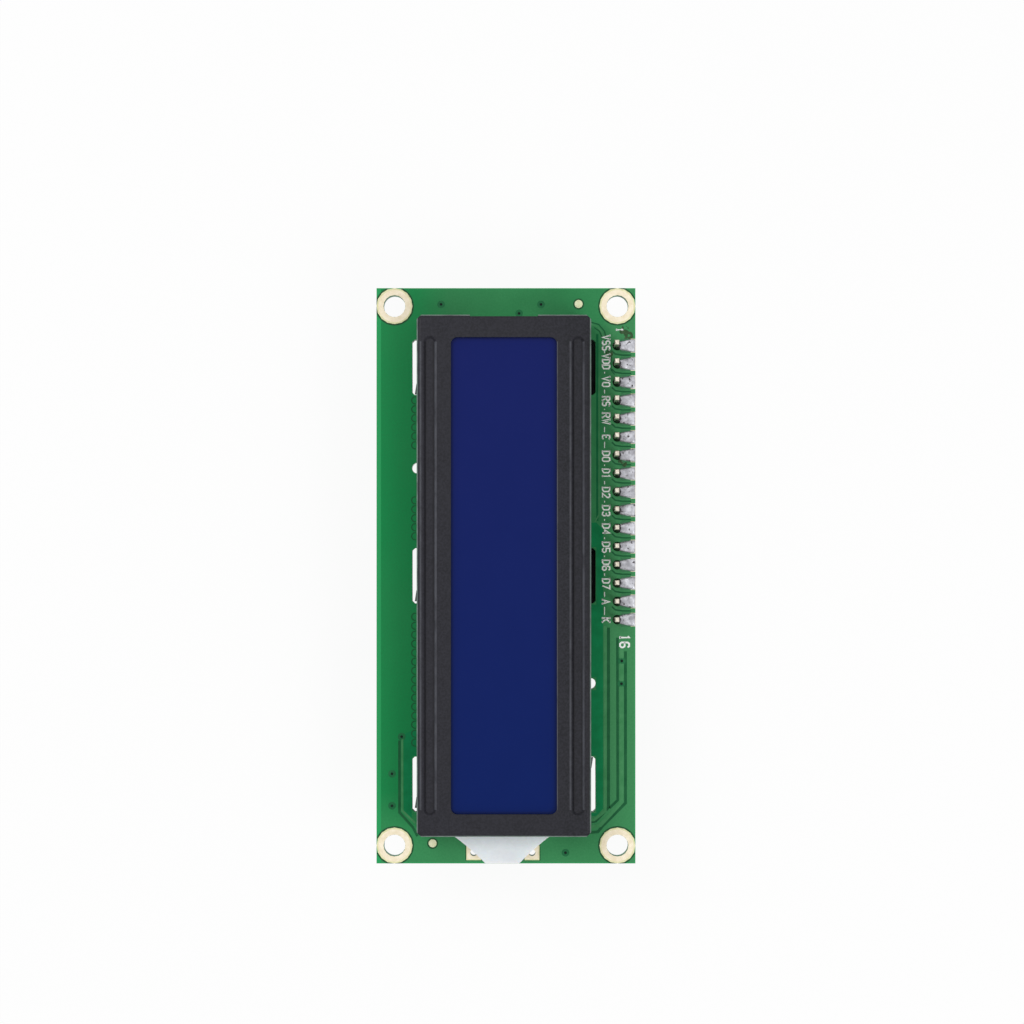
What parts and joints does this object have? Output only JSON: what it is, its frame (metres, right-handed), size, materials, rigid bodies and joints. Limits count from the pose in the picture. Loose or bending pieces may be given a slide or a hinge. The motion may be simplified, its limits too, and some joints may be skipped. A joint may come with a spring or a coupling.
{
  "type": "character lcd module",
  "caption": "Character display with a black steel bezel on a green circuit board, and a serial adapter with a contrast trimmer and a jumper soldered behind its header row.",
  "frame": {"origin": "middle of the four corner holes, on the front face of the green board", "axes": "+Z out of the display, +Y to the short end nearest pin 1, +X to the long edge with the header row"},
  "size_m": [0.036, 0.08, 0.0176],
  "materials": {
    "board_green": "green solder mask over glass fibre board",
    "board_black": "black solder mask over glass fibre board",
    "bare_land": "gold-plated copper",
    "bezel_paint": "satin black paint on sheet steel",
    "screen_film": "blue polariser with an anti-glare face",
    "cell_glass": "clear",
    "clear_film": "thin sheet",
    "contact_rubber": "conductive rubber",
    "guide_plastic": "pale light guide",
    "white_film": "white reflector",
    "lamp_body": "lamp body",
    "solder": "tin solder",
    "black_resin": "cured resin",
    "resistor_body": "coated ceramic",
    "tinned_end": "tinned",
    "tinned_pin": "tinned brass",
    "header_plastic": "moulded black",
    "chip_plastic": "moulded epoxy",
    "trimmer_blue": "moulded blue",
    "trimmer_base": "ceramic base",
    "rotor_grey": "grey rotor",
    "lamp_lens": "pale green lens",
    "capacitor_tan": "tan ceramic"
  },
  "bodies": {
    "module": {"lcd_board": "board_green", "board_pads": "bare_land", "bezel": "bezel_paint", "front_polariser": "screen_film", "front_glass": "cell_glass", "rear_glass": "cell_glass", "rear_polariser": "clear_film", "left_zebra_strip": "contact_rubber", "right_zebra_strip": "contact_rubber", "diffuser_film": "clear_film", "light_guide": "guide_plastic", "reflector_film": "white_film", "backlight_led": "lamp_body", "led_solder": "solder", "controller_glob": "black_resin", "driver_glob": "black_resin", "display_resistors": "resistor_body", "display_resistor_ends": "tinned_end", "header_pins": "tinned_pin", "header_strip": "header_plastic", "front_solder": "solder", "rear_solder": "solder", "adapter_board": "board_black", "adapter_pads": "solder", "chip_solder": "solder", "leg_solder": "solder", "expander_chip": "chip_plastic", "expander_leads": "tinned_end", "trimmer_body": "trimmer_blue", "trimmer_base": "trimmer_base", "trimmer_legs": "tinned_pin", "serial_header": "header_plastic", "serial_pins": "tinned_pin", "jumper_header": "header_plastic", "jumper_pins": "tinned_pin", "power_led": "lamp_lens", "power_led_ends": "tinned_end", "adapter_resistors": "resistor_body", "adapter_resistor_ends": "tinned_end", "adapter_capacitor": "capacitor_tan", "adapter_capacitor_ends": "tinned_end", "transistor": "chip_plastic", "transistor_leads": "tinned_end"},
    "rotor": {"trimmer_rotor": "rotor_grey"},
    "cap": {"jumper_cap": "header_plastic", "jumper_clip": "tinned_end"}
  },
  "joints": [
    {"name": "rotor_turn", "type": "hinge", "parent": "module", "child": "rotor", "pos_m": [0.0089, 0.02415, -0.0095], "axis": [0, 0, 1], "range_deg": [-130, 130]},
    {"name": "cap_pull", "type": "slide", "parent": "module", "child": "cap", "axis": [0, -1, 0], "range_m": [0, 0.005]}
  ]
}
